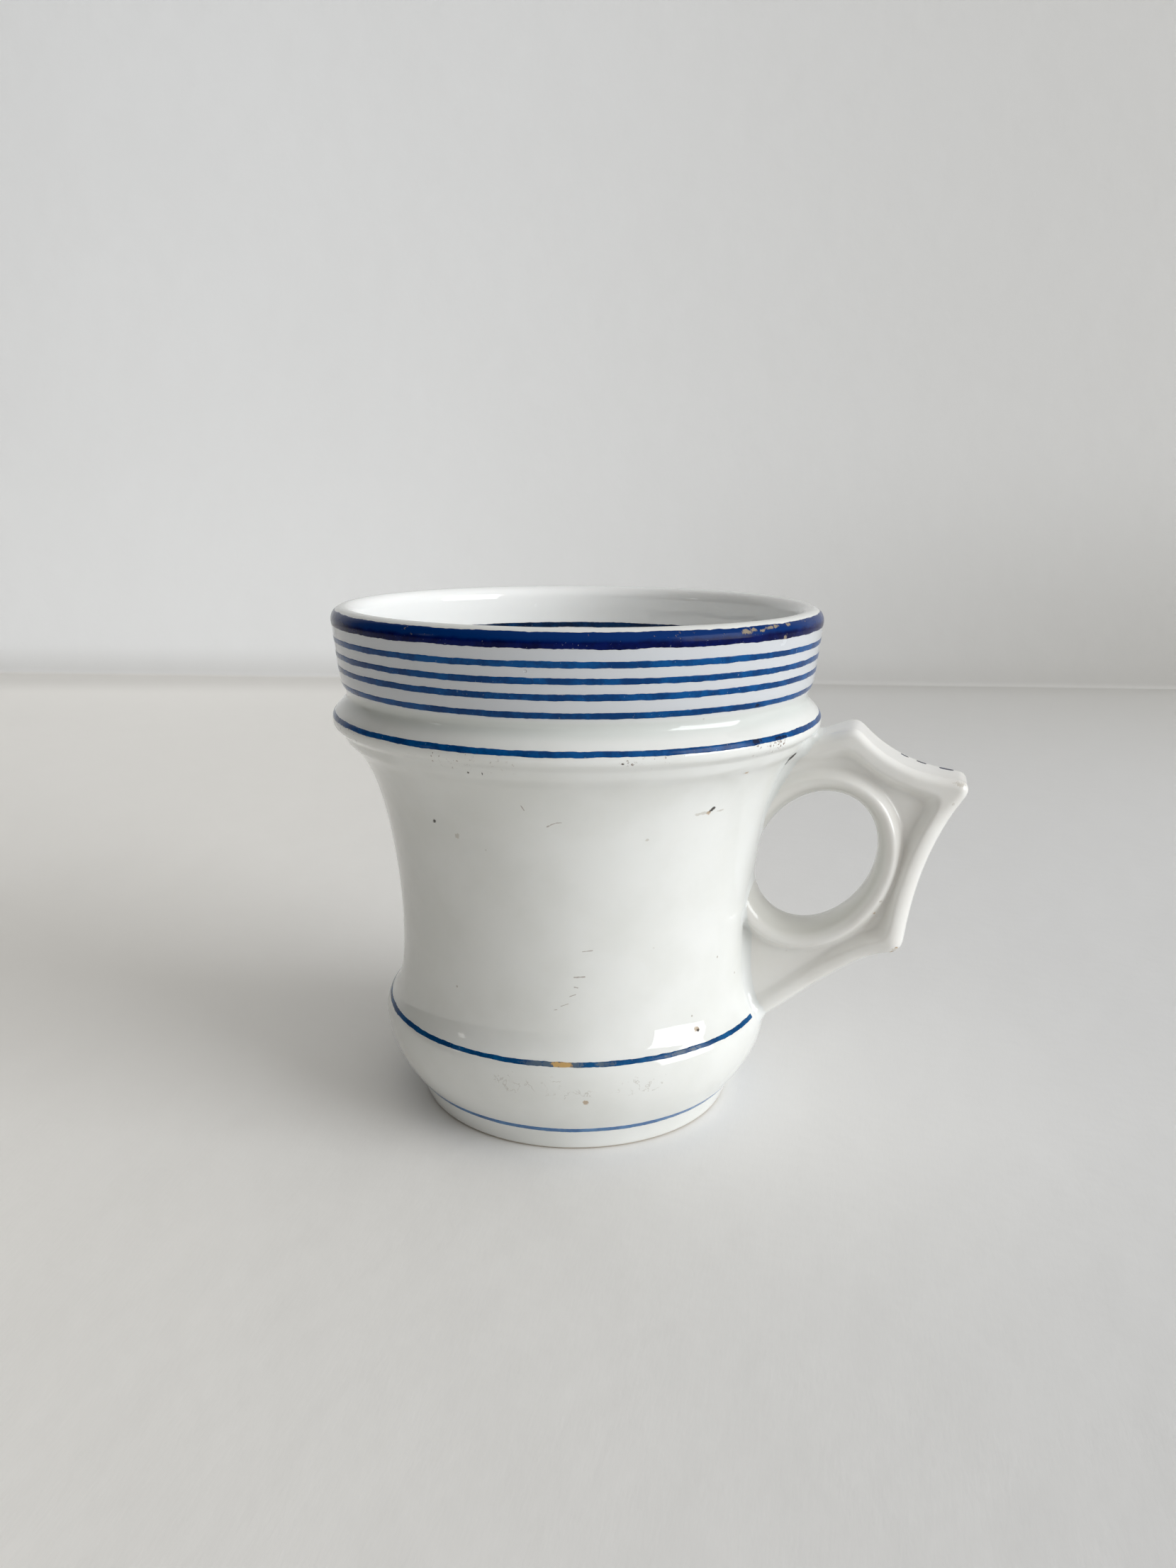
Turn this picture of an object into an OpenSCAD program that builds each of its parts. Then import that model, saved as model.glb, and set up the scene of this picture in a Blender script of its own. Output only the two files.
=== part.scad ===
// Shaving mug: a waisted porcelain body with a moulded handle stuck on with slip,
// and cobalt lines fired into the glaze.
// Origin: centre of the foot, on the surface it stands on. +Z up, the handle points along +X.

/* [Body] */
// Overall height
mug_h = 95; // [92:0.5:100]
// Outer radius of the rim
rim_r = 45; // [44.5:0.1:46]
// Thickness of the rounded lip
lip_t = 4.4; // [3.6:0.1:5]
// Height at which the straight collar begins, above the notch
collar_z = 82.5; // [82:0.1:83]
// Radius of the collar at its lower end
collar_r = 43.8; // [43.4:0.1:44.2]
// Smallest radius of the notch between the collar and the bead
notch_r = 42.7; // [42.2:0.1:43]
// Largest radius of the bead
bead_r = 45.35; // [45:0.05:46]
// Height of the bead's largest radius
bead_z = 74.7; // [74.2:0.1:75.2]
// Radius at the narrowest part of the waist
waist_r = 33.6; // [32.5:0.1:34]
// Largest radius of the belly
belly_r = 37.2; // [36.8:0.1:38]
// Height of the belly's largest radius
belly_z = 17.5; // [17:0.1:18]
// Radius at the top of the foot ring
foot_top_r = 31.6; // [31:0.1:32]
// Radius of the foot ring where it stands
foot_r = 29.6; // [29:0.1:30.5]
// Height of the foot ring
foot_h = 4.6; // [4.2:0.1:5]

/* [Inside] */
// Radius of the hollow at the waist
bore_waist_r = 29.4; // [28:0.1:29.8]
// Height of the inside floor at its centre, above the table
floor_t = 7.4; // [6:0.1:9]
// Width of the unglazed face of the foot ring
foot_ring_w = 3.6; // [3:0.1:5]
// Depth of the hollow under the foot
foot_hollow = 2.4; // [1.5:0.1:3]

/* [Handle] */
// Thickness of the handle at its ribs
handle_t = 12; // [10:0.2:13]
// Thickness of the sunk web between the ribs
handle_web_t = 8.6; // [7:0.1:10]
// Width of the raised rib along the outer edge
handle_rib_w = 3; // [2.4:0.1:3.4]
// Width of the raised ring around the finger hole
handle_ring_w = 4.4; // [3.6:0.1:5]
// Half the length of the finger hole's long axis
finger_a = 13.5; // [13:0.1:14]
// Half the length of the finger hole's short axis
finger_b = 10.3; // [10:0.1:10.6]
// Lean of the finger hole's long axis from horizontal
finger_lean = 60; // [52:1:66]
// Width of the slip fillets around the roots
slip_w = 1.2; // [0.8:0.1:1.6]

/* [Cobalt] */
// Depth of the lines that are fired into the glaze
cobalt_t = 0.2; // [0.1:0.05:0.3]
// Width of the four lines on the collar
line_w = 1.1; // [0.8:0.05:1.3]
// Width of the thin line above the foot
fine_line_w = 0.4; // [0.3:0.05:0.6]
// Lower edge of the broad band on the lip
rim_band_z = 92; // [91.6:0.1:92.4]
// Upper edge of the broad band on the lip
rim_band_top = 94.5; // [94.2:0.1:94.7]
// Height of the line inside the mug
inner_line_z = 87.1; // [86:0.1:88]

/* [Hidden] */
$fn = 96;

porcelain = [0.93, 0.94, 0.93];
handle_glaze = [0.89, 0.89, 0.87];
slip_glaze = [0.85, 0.86, 0.85];
cobalt = [0.07, 0.22, 0.55];
cobalt_deep = [0.02, 0.05, 0.32];

line_z = [89.55, 86.95, 84.45, 81.5];
bead_line_z = 76;
belly_line_z = 20;
foot_line_z = foot_h + 0.4;
rib_round = 0.7;
finger_c = [45.5, 49.9];
dash_x = [59.7, 62.6, 66.8];
dash_l = [1.4, 1.7, 2.2];
dash_w = 0.9;
dash_y = 4.2;
far = 120;

// Points along a cubic curve from a to d, steered by b and c, without its last point
function curve(a, b, c, d, n = 8) =
    [for (i = [0:n - 1]) let (t = i / n, s = 1 - t)
        s * s * s * a + 3 * s * s * t * b + 3 * s * t * t * c + t * t * t * d];

// Points along an arc of an ellipse about c
function arc(c, rx, ry, from, to, n = 8) =
    [for (i = [0:n]) let (a = from + (to - from) * i / n) c + [rx * cos(a), ry * sin(a)]];

// Outer side of the body from the foot up to the middle of the lip, as [radius, height]
lip_c = rim_r - lip_t / 2;
outer_side = concat(
    [[foot_r, 0], [foot_r + 0.4, 0.5]],
    curve([foot_top_r, foot_h], [34.5, 7.9], [belly_r, 12.2], [belly_r, belly_z], 12),
    curve([belly_r, belly_z], [belly_r, 18.9], [36.6, 19.8], [35.9, 20.7], 8),
    curve([35.9, 20.7], [34.8, 22.1], [waist_r + 0.5, 24.4], [waist_r + 0.25, 28], 8),
    curve([waist_r + 0.25, 28], [waist_r - 0.4, 38], [34.6, 51], [37, 60], 14),
    curve([37, 60], [37.9, 63], [39.2, 67], [41.6, 69.6], 8),
    [[41.6, 69.6]],
    curve([42.7, 70.8], [43.2, 71.3], [43.3, 71.5], [43.6, 72], 3),
    curve([43.6, 72], [44.6, 73.2], [bead_r, 73.6], [bead_r, bead_z], 8),
    curve([bead_r, bead_z], [bead_r, 75.8], [44.9, 76.4], [44.1, 77.2], 8),
    curve([44.1, 77.2], [43.3, 78], [notch_r, 78.6], [notch_r, 79.4], 6),
    curve([notch_r, 79.4], [notch_r, 80.2], [43.4, 80.9], [collar_r, collar_z], 8),
    [[collar_r, collar_z]],
    arc([lip_c, mug_h - 2.3], lip_t / 2, 2.3, 0, 90, 10));

// Inner side of the body from the middle of the lip down to the centre of the floor
inner_side = concat(
    arc([lip_c, mug_h - 2.3], lip_t / 2, 2.3, 100, 180, 8),
    curve([rim_r - lip_t - 0.3, 82], [39.6, 71], [33, 64], [31.8, 54], 12),
    curve([31.8, 54], [30.6, 46], [bore_waist_r, 38], [bore_waist_r, 30], 8),
    curve([bore_waist_r, 30], [bore_waist_r, 24], [30.8, 23], [30.8, 17], 6),
    curve([30.8, 17], [30.8, 10.5], [28, floor_t + 0.6], [20, floor_t + 0.4], 10),
    [[20, floor_t + 0.4], [0, floor_t]]);

// Side view of the handle as [distance from the axis, height]; its roots run into the body
handle_side = concat(
    [[30, 71.5], [44, 72.6]],
    curve([44, 72.6], [47, 73.4], [49.5, 74.7], [51.2, 74.9], 5),
    curve([51.2, 74.9], [52.2, 75], [52.9, 74.2], [53.8, 73.3], 5),
    curve([53.8, 73.3], [58.3, 68.9], [64, 67.1], [69.6, 66.6], 12),
    curve([69.6, 66.6], [71.4, 66.4], [72, 65.2], [71.1, 63.6], 7),
    curve([71.1, 63.6], [66.4, 56], [63.6, 48.5], [62.3, 36.2], 14),
    curve([62.3, 36.2], [62.1, 34.6], [61.2, 33.8], [59.6, 33.5], 5),
    curve([59.6, 33.5], [55.2, 33.3], [49, 27.3], [37, 17.6], 10),
    [[37, 17.6], [28, 17.6]]);

finger_hole = [for (i = [0:59]) let (t = i * 6, x = finger_a * cos(t), y = finger_b * sin(t))
    finger_c + [x * cos(finger_lean) - y * sin(finger_lean),
                x * sin(finger_lean) + y * cos(finger_lean)]];

// Half section of the body's outer side, made smaller all round by t
module outer_section(t = 0) {
    polygon(concat([[0, 0]], [for (p = outer_side) [p[0] - t, p[1]]], [[0, mug_h]]));
}

module envelope(t = 0) {
    rotate_extrude() outer_section(t);
}

// Ring of cobalt that fills a groove in the outer side from z0 up to z1
module outer_ring(z0, z1) {
    rotate_extrude() intersection() {
        difference() {
            outer_section();
            outer_section(cobalt_t);
        }
        translate([20, z0]) square([40, z1 - z0]);
    }
}

// Same, about the height z and w wide
module outer_line(z, w) {
    outer_ring(z - w / 2, z + w / 2);
}

// The inner line fills a groove in the inner side, which is nearly straight there
module inner_ring() {
    rotate_extrude() intersection() {
        difference() {
            hollow_section(cobalt_t);
            hollow_section(0);
        }
        translate([20, inner_line_z - line_w / 2]) square([40, line_w]);
    }
}

module hollow_section(t = 0) {
    polygon(concat([for (p = inner_side) [p[0] + (p[0] > 0 ? t : 0), p[1]]],
                   [[0, mug_h + 1], [lip_c, mug_h + 1]]));
}

// The line round the belly stops where the handle's lower root covers it
module belly_ring() {
    gap = handle_t + 2 * slip_w + 0.6;
    difference() {
        outer_line(belly_line_z, line_w);
        translate([0, -gap / 2, 0]) cube([far, gap, far]);
    }
}

// Flat plate parallel to the side view, t thick
module plate(t) {
    rotate([90, 0, 0]) linear_extrude(t, center = true) children();
}

module side_2d() {
    difference() {
        polygon(handle_side);
        polygon(finger_hole);
    }
}

// Cobalt that fills a groove in the handle's top, from x on and l long
module dash(x, l) {
    translate([0, dash_y, 0]) plate(dash_w) intersection() {
        difference() {
            polygon(handle_side);
            translate([0, -cobalt_t]) polygon(handle_side);
        }
        translate([x, finger_c[1]]) square([l, far]);
    }
}

module dashes() {
    for (i = [0:len(dash_x) - 1]) dash(dash_x[i], dash_l[i]);
}

module root_slip(z0, z1) {
    difference() {
        intersection() {
            plate(handle_t + 2 * slip_w) intersection() {
                offset(r = slip_w, $fn = 24) side_2d();
                translate([0, z0]) square([far, z1 - z0]);
            }
            envelope(-slip_w);
        }
        envelope();
        plate(handle_t) side_2d();
    }
}

module mug_body() {
    color(porcelain) difference() {
        envelope();
        rotate_extrude() hollow_section();
        translate([0, 0, -1]) cylinder(r = foot_r - foot_ring_w, h = foot_hollow + 1);
        outer_ring(rim_band_z, rim_band_top);
        for (z = line_z) outer_line(z, line_w);
        outer_line(bead_line_z, line_w);
        belly_ring();
        outer_line(foot_line_z, fine_line_w);
        inner_ring();
    }
}

module handle() {
    color(handle_glaze) difference() {
        union() {
            plate(handle_t - 2 * rib_round) side_2d();
            plate(handle_t) offset(r = -rib_round, $fn = 24) side_2d();
        }
        for (side = [-1, 1]) translate([0, side * (handle_web_t + far) / 2, 0])
            plate(far) difference() {
                offset(r = -handle_rib_w, $fn = 24) polygon(handle_side);
                offset(r = handle_ring_w, $fn = 24) polygon(finger_hole);
            }
        envelope();
        dashes();
    }
}

module upper_slip_joint() {
    color(slip_glaze) root_slip(50, mug_h);
}

module lower_slip_joint() {
    color(slip_glaze) root_slip(0, 50);
}

module rim_band() {
    color(cobalt_deep) outer_ring(rim_band_z, rim_band_top);
}

module collar_line(i) {
    color(cobalt) outer_line(line_z[i - 1], line_w);
}

module bead_line() {
    color(cobalt) outer_line(bead_line_z, line_w);
}

module belly_line() {
    color(cobalt) belly_ring();
}

module foot_line() {
    color(cobalt) outer_line(foot_line_z, fine_line_w);
}

module inner_line() {
    color(cobalt) inner_ring();
}

module handle_dashes() {
    color(cobalt_deep) dashes();
}

mug_body();
handle();
upper_slip_joint();
lower_slip_joint();
rim_band();
collar_line(1);  // collar_line_1
collar_line(2);  // collar_line_2
collar_line(3);  // collar_line_3
collar_line(4);  // collar_line_4
bead_line();
belly_line();
foot_line();
inner_line();
handle_dashes();
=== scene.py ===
"""Shaving mug in glazed porcelain with cobalt lines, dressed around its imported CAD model.

Lengths in the helpers are millimetres, and mesh_object() turns them into metres. +Z is up, the
origin is the centre of the foot, and the handle points along +X. Angles round the mug are degrees
from +X towards +Y.
"""

import copy
import math

import bpy
import numpy as np
from mathutils import Matrix, Vector


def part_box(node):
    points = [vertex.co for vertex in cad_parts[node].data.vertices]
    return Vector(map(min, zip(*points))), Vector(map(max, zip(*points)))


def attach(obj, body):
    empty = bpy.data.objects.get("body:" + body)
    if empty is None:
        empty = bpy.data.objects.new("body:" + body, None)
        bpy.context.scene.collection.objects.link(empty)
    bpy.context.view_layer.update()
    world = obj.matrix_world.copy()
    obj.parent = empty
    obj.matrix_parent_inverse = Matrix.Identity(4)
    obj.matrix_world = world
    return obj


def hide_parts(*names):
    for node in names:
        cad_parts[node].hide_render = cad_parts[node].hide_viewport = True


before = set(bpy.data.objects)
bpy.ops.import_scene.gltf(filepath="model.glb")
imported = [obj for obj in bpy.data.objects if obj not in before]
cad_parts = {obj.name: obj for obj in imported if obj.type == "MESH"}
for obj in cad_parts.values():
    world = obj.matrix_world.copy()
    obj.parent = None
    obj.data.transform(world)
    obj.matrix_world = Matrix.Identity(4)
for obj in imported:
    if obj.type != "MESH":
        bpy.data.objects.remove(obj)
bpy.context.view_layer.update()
MM = 0.001


def box_mm(node):
    """Lowest and highest corner of a CAD node, in millimetres."""
    return [np.array(corner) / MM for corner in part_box(node)]


# Sizes that come from the frame
BODY_HI = box_mm("mug_body")[1]
HANDLE_LO, HANDLE_HI = box_mm("handle")
MUG_H = BODY_HI[2]
BEAD_R = BODY_HI[0]
RIM_R = box_mm("rim_band")[1][0]
HANDLE_HALF = HANDLE_HI[1]

# Body, as [radius, height]; the same curves as in the CAD
LIP_T = 4.4
LIP_H = 2.3
LIP_R = RIM_R - LIP_T / 2
FOOT_R = 29.6
FOOT_H = 4.6
FOOT_HOLLOW_R = 26.0
FOOT_HOLLOW = 2.4
FLOOR_T = 7.4
PROFILE_SOFTNESS = 0.2
RING_SEGMENTS = 288
LINE_SEGMENTS = 900
STEADY_R = 20    # Inside this radius the unevenness of the wall fades out

# Cobalt film
FILM_PROUD = 0.03
FILM_SUNK = 0.18
FILM_DROOP = 0.012
BELLY_GAP = 7.0    # From the handle's middle plane to either end of the belly line

# How wide each line looks against its groove, and how far up it sits in it
LINE_LOOK = {"bead_line": (0.86, -0.2), "belly_line": (0.7, -0.15), "foot_line": (2.9, 0.0),
             "inner_line": (1.15, 0.35), "rim_band": (1.05, -0.06)}

# Handle
FINGER_C = np.array([45.5, 49.9])
FINGER_A, FINGER_B, FINGER_LEAN = 13.5, 10.3, math.radians(60)
WEB_HALF = 3.8
RING_CREST, RING_RISE, RING_FALL = 2.8, 2.2, 2.2
RIB_CREST, RIB_RISE, RIB_FALL = 2.6, 2.2, 2.2
EDGE_R = 2.7
WEB_SOFTNESS = 1.2
RING_ROUNDNESS = 2.3

# Slip joints, and how far the hidden ends of the pieces reach into each other
SLIP_R, SLIP_R_LEAST = 1.5, 0.4
SLIP_DIVE = 0.008
SLIP_LO, SLIP_HI = (30, 12), (50, 80)    # x and z of the space that holds both joints
SLIP_APART = 0.2
STUB_DEPTH = 1.0
BACKING_IN_BODY, BACKING_IN_HANDLE = 1.2, 1.4

# Grids that the handle and the slip joints are meshed on
VOXEL = 0.35
MAP_STEP = 0.1
MARGIN = 1.2


# ---------------------------------------------------------------- curves and profiles

def bezier(a, b, c, d, n=40):
    """n points on a cubic curve from a towards d, without d itself."""
    t = np.linspace(0, 1, n, endpoint=False)[:, None]
    a, b, c, d = (np.array(p, float) for p in (a, b, c, d))
    return (1 - t) ** 3 * a + 3 * (1 - t) ** 2 * t * b + 3 * (1 - t) * t ** 2 * c + t ** 3 * d


def evenly(points, step):
    """The same open line, with points at equal steps along it."""
    length = np.concatenate([[0], np.cumsum(np.linalg.norm(np.diff(points, axis=0), axis=1))])
    at = np.linspace(0, length[-1], int(length[-1] / step) + 1)
    return np.stack([np.interp(at, length, points[:, k]) for k in range(2)], axis=1)


def softened(points, radius, step=0.05):
    """An open line with its corners rounded over about that radius; its ends stay in place."""
    line = evenly(np.array(points, float), step)
    reach = int(3 * radius / step)
    weights = np.exp(-0.5 * (np.arange(-reach, reach + 1) * step / radius) ** 2)
    weights /= weights.sum()
    before = 2 * line[0] - line[reach:0:-1]
    after = 2 * line[-1] - line[-2:-reach - 2:-1]
    padded = np.concatenate([before, line, after])
    return np.stack([np.convolve(padded[:, k], weights, "valid") for k in range(2)], axis=1)


class Profile:
    """Half section of the mug, from the middle of its underside round to its inside floor."""

    def __init__(self):
        underside = [
            [0, FOOT_HOLLOW], [FOOT_HOLLOW_R - 0.6, FOOT_HOLLOW],
            [FOOT_HOLLOW_R, FOOT_HOLLOW - 0.6], [FOOT_HOLLOW_R + 0.1, 0.3],
            [FOOT_HOLLOW_R + 0.5, 0], [FOOT_R - 0.2, 0]]
        outer = np.concatenate([
            [[FOOT_R + 0.3, 0.5]],
            bezier([31.6, FOOT_H], [34.5, 7.9], [37.2, 12.2], [37.2, 17.5]),
            bezier([37.2, 17.5], [37.2, 18.9], [36.6, 19.8], [35.9, 20.7]),
            bezier([35.9, 20.7], [34.8, 22.1], [34.1, 24.4], [33.85, 28]),
            bezier([33.85, 28], [33.2, 38], [34.6, 51], [37, 60]),
            bezier([37, 60], [37.9, 63], [39.0, 66.6], [41.2, 69.3]),
            bezier([41.2, 69.3], [42.0, 70.2], [42.5, 70.5], [42.95, 71.1]),
            bezier([42.95, 71.1], [43.3, 71.6], [43.5, 72.1], [43.8, 72.7]),
            bezier([43.8, 72.7], [44.6, 73.5], [BEAD_R, 73.7], [BEAD_R, 74.7]),
            bezier([BEAD_R, 74.7], [BEAD_R, 75.8], [44.9, 76.4], [44.1, 77.2]),
            bezier([44.1, 77.2], [43.3, 78], [42.7, 78.6], [42.7, 79.4]),
            bezier([42.7, 79.4], [42.7, 80.2], [43.4, 80.9], [43.8, 82.5]),
            [[43.8, 82.5]]])
        turn = np.radians(np.linspace(0, 180, 60))
        lip = np.stack([LIP_R + LIP_T / 2 * np.cos(turn),
                        MUG_H - LIP_H + LIP_H * np.sin(turn)], axis=1)
        inner = np.concatenate([
            bezier([RIM_R - LIP_T - 0.3, 82], [39.6, 71], [33, 64], [31.8, 54]),
            bezier([31.8, 54], [30.6, 46], [29.4, 38], [29.4, 30]),
            bezier([29.4, 30], [29.4, 24], [30.8, 23], [30.8, 17]),
            bezier([30.8, 17], [30.8, 10.5], [28, FLOOR_T + 0.6], [20, FLOOR_T + 0.4]),
            [[20, FLOOR_T + 0.4], [0, FLOOR_T]]])
        self.line = softened(np.concatenate([underside, outer, lip, inner]), PROFILE_SOFTNESS)
        self.line[:, 1] = np.maximum(self.line[:, 1], 0)
        self.line[[0, -1], 0] = 0
        step = np.linalg.norm(np.diff(self.line, axis=0), axis=1)
        self.length = np.concatenate([[0], np.cumsum(step)])
        along = np.gradient(self.line, axis=0)
        along /= np.linalg.norm(along, axis=1)[:, None] + 1e-12
        self.normal = np.stack([along[:, 1], -along[:, 0]], axis=1)
        self.top = int(np.argmax(self.line[:, 1]))
        self.foot = int(np.nonzero(self.line[:self.top, 1] < 0.5)[0][-1])

    def at(self, s):
        """Radius, height and outward normal at distances s along the line."""
        return [np.interp(s, self.length, column) for column in
                (self.line[:, 0], self.line[:, 1], self.normal[:, 0], self.normal[:, 1])]

    def outside(self, z):
        """Distance along the line at which the outer side reaches height z."""
        part = slice(self.foot, self.top)
        return np.interp(z, self.line[part, 1], self.length[part])

    def inside(self, z):
        """Distance along the line at which the inner side reaches height z."""
        heights, lengths = self.line[self.top:, 1][::-1], self.length[self.top:][::-1]
        return np.interp(z, np.maximum.accumulate(heights), lengths)

    def stations(self, error=0.0035, shortest=0.2, longest=1.3):
        """Distances along the line, closer together where it bends more."""
        turn = np.linalg.norm(np.gradient(self.normal, self.length, axis=0), axis=1)
        turn = np.convolve(turn, np.ones(9) / 9, "same")
        step = np.clip(np.sqrt(8 * error / (turn + 1e-6)), shortest, longest)
        count = np.concatenate([[0], np.cumsum(np.diff(self.length) / step[1:])])
        return np.interp(np.linspace(0, count[-1], int(count[-1]) + 1), count, self.length)


def wobble(turn, z):
    """How far the hand-finished wall stands out from a true circle, for turn in radians."""
    return (0.05 * np.sin(2 * turn + 0.4 + z / 40) + 0.022 * np.sin(7 * turn - z / 13)
            + 0.007 * np.sin(17 * turn + z / 6))


def uneven(turn, seed, sizes):
    """Smooth random waves round the mug. sizes is a list of (number of waves, height)."""
    draw = np.random.default_rng(seed)
    total = np.zeros_like(turn)
    for waves, height in sizes:
        values = draw.uniform(-1, 1, waves)
        at = np.mod(turn / (2 * math.pi), 1) * waves
        low = np.floor(at).astype(int) % waves
        blend = at - np.floor(at)
        blend = blend * blend * (3 - 2 * blend)
        total += height * (values[low] * (1 - blend) + values[(low + 1) % waves] * blend)
    return total


# ---------------------------------------------------------------- meshes

def mesh_object(name, vertices, faces, material):
    """A smooth-shaded object from vertices in millimetres."""
    mesh = bpy.data.meshes.new(name)
    mesh.from_pydata((np.asarray(vertices) * MM).tolist(), [], [tuple(f) for f in faces])
    mesh.validate()
    mesh.shade_smooth()
    mesh.materials.append(material)
    made = bpy.data.objects.new(name, mesh)
    bpy.context.scene.collection.objects.link(made)
    return made


def add_piece(name, vertices, faces, material, slot, *nodes):
    """A piece of the mug that rides on its only body and stands for CAD nodes."""
    piece = mesh_object(name, vertices, faces, material)
    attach(piece, "root")
    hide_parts(*nodes)
    return piece


def sheet_faces(rows, columns, wrap_rows, wrap_columns):
    """Quads of a grid of vertices that are numbered row by row."""
    down = np.arange(rows if wrap_rows else rows - 1)
    across = np.arange(columns if wrap_columns else columns - 1)
    i, j = (k.ravel() for k in np.meshgrid(down, across, indexing="ij"))
    i2, j2 = (i + 1) % rows, (j + 1) % columns
    i, i2 = i * columns, i2 * columns
    return np.stack([i + j, i + j2, i2 + j2, i2 + j], axis=1)


def round_the_axis(radius, turn, z):
    """Points at a radius, an angle and a height."""
    return np.stack([radius * np.cos(turn), radius * np.sin(turn), z], axis=-1)


def make_body(profile, material):
    """The turned body: rings of vertices along the profile, closed at both ends."""
    stations = profile.stations()[1:-1]
    radius, height, _, _ = profile.at(stations)
    turn = np.linspace(0, 2 * math.pi, RING_SEGMENTS, endpoint=False)
    out = wobble(turn[None, :], height[:, None]) * np.clip(radius / STEADY_R, 0, 1)[:, None]
    grid_r = radius[:, None] + out
    rings = round_the_axis(grid_r, turn[None, :] + 0 * grid_r, height[:, None] + 0 * grid_r)
    vertices = list(rings.reshape(-1, 3))
    vertices += [[0, 0, profile.line[0, 1]], [0, 0, profile.line[-1, 1]]]
    faces = [tuple(f) for f in sheet_faces(len(stations), RING_SEGMENTS, False, True)]
    under, floor = len(vertices) - 2, len(vertices) - 1
    last = (len(stations) - 1) * RING_SEGMENTS
    for j in range(RING_SEGMENTS):
        k = (j + 1) % RING_SEGMENTS
        faces += [(under, k, j), (floor, last + j, last + k)]
    return add_piece("mug_body_porcelain", vertices, faces, material, "body_glaze", "mug_body")


def make_film(name, profile, s0, s1, material, slot, node, arc=None, ragged=1.0, seed=0, across=8):
    """A thin ring of cobalt on the wall, from distance s0 to s1 along the profile.

    arc is its start and end, in degrees, where it doesn't go all the way round."""
    closed = arc is None
    first, last = (0, 360) if closed else arc
    count = int(LINE_SEGMENTS * (last - first) / 360)
    turn = np.radians(np.linspace(first, last, count, endpoint=not closed))
    waves = [(43, 0.05 * ragged), (150, 0.042 * ragged), (430, 0.038 * ragged)]
    low = s0 + uneven(turn, seed, waves)
    high = s1 + uneven(turn, seed + 1, waves)
    share = np.linspace(0, 1, across + 1)
    s = low[:, None] + (high - low)[:, None] * share[None, :]
    off_middle = np.abs(2 * share - 1)
    lift = FILM_PROUD * (1 - off_middle ** 6) - FILM_DROOP * off_middle ** 8
    loops = []
    for side, offset in ((1, lift), (-1, np.full(across + 1, -FILM_SUNK))):
        radius, height, out_r, out_z = profile.at(s)
        radius = radius + out_r * offset + wobble(turn[:, None], height)
        height = height + out_z * offset
        loops.append(round_the_axis(radius, turn[:, None] + 0 * radius, height)[:, ::side])
    grid = np.concatenate(loops, axis=1)
    rows, columns = grid.shape[:2]
    faces = [tuple(f) for f in sheet_faces(rows, columns, closed, True)]
    if not closed:
        faces += [tuple(range(columns)),
                  tuple(range(rows * columns - 1, (rows - 1) * columns - 1, -1))]
    return add_piece(name, grid.reshape(-1, 3), faces, material, slot, node)


# ---------------------------------------------------------------- solids from distance fields

class Map:
    """A quantity over a flat area, kept on a fine grid and read between its points."""

    def __init__(self, low, high, step, value):
        self.low, self.step = np.array(low, float), step
        self.size = np.ceil((np.array(high, float) - self.low) / step).astype(int) + 1
        u, v = (low[k] + step * np.arange(self.size[k]) for k in range(2))
        points = np.stack(np.meshgrid(u, v, indexing="ij"), axis=-1).reshape(-1, 2)
        self.values = value(points).reshape(self.size)

    def blurred(self, radius):
        """The same map, smoothed over about that radius."""
        reach = int(3 * radius / self.step)
        weights = np.exp(-0.5 * (np.arange(-reach, reach + 1) * self.step / radius) ** 2)
        weights /= weights.sum()
        soft = copy.copy(self)
        soft.values = np.pad(self.values, reach, "edge")
        for axis in range(2):
            soft.values = np.apply_along_axis(np.convolve, axis, soft.values, weights, "valid")
        return soft

    def __call__(self, u, v):
        at = [np.clip((c - self.low[k]) / self.step, 0, self.size[k] - 1.001)
              for k, c in enumerate((u, v))]
        i, j = (a.astype(int) for a in at)
        p, q = at[0] - i, at[1] - j
        grid = self.values
        return ((grid[i, j] * (1 - p) + grid[i + 1, j] * p) * (1 - q)
                + (grid[i, j + 1] * (1 - p) + grid[i + 1, j + 1] * p) * q)


def distance_to(points, line):
    """Shortest distance from each point to a line of straight pieces."""
    best = np.full(len(points), 1e9)
    for a, b in zip(line[:-1], line[1:]):
        way = b - a
        t = np.clip(((points - a) @ way) / (way @ way + 1e-12), 0, 1)
        gap = points - a - t[:, None] * way
        best = np.minimum(best, np.einsum("ij,ij->i", gap, gap))
    return np.sqrt(best)


def is_inside(points, line):
    """True for points inside the closed outline."""
    inside = np.zeros(len(points), bool)
    x, y = points.T
    for (x0, y0), (x1, y1) in zip(line, np.roll(line, -1, axis=0)):
        if y0 != y1:
            crosses = (y0 > y) != (y1 > y)
            inside ^= crosses & (x < (x1 - x0) * (y - y0) / (y1 - y0) + x0)
    return inside


def smooth_step(t):
    """0 below 0, 1 above 1, and a soft change between."""
    t = np.clip(t, 0, 1)
    return t * t * (3 - 2 * t)


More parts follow.
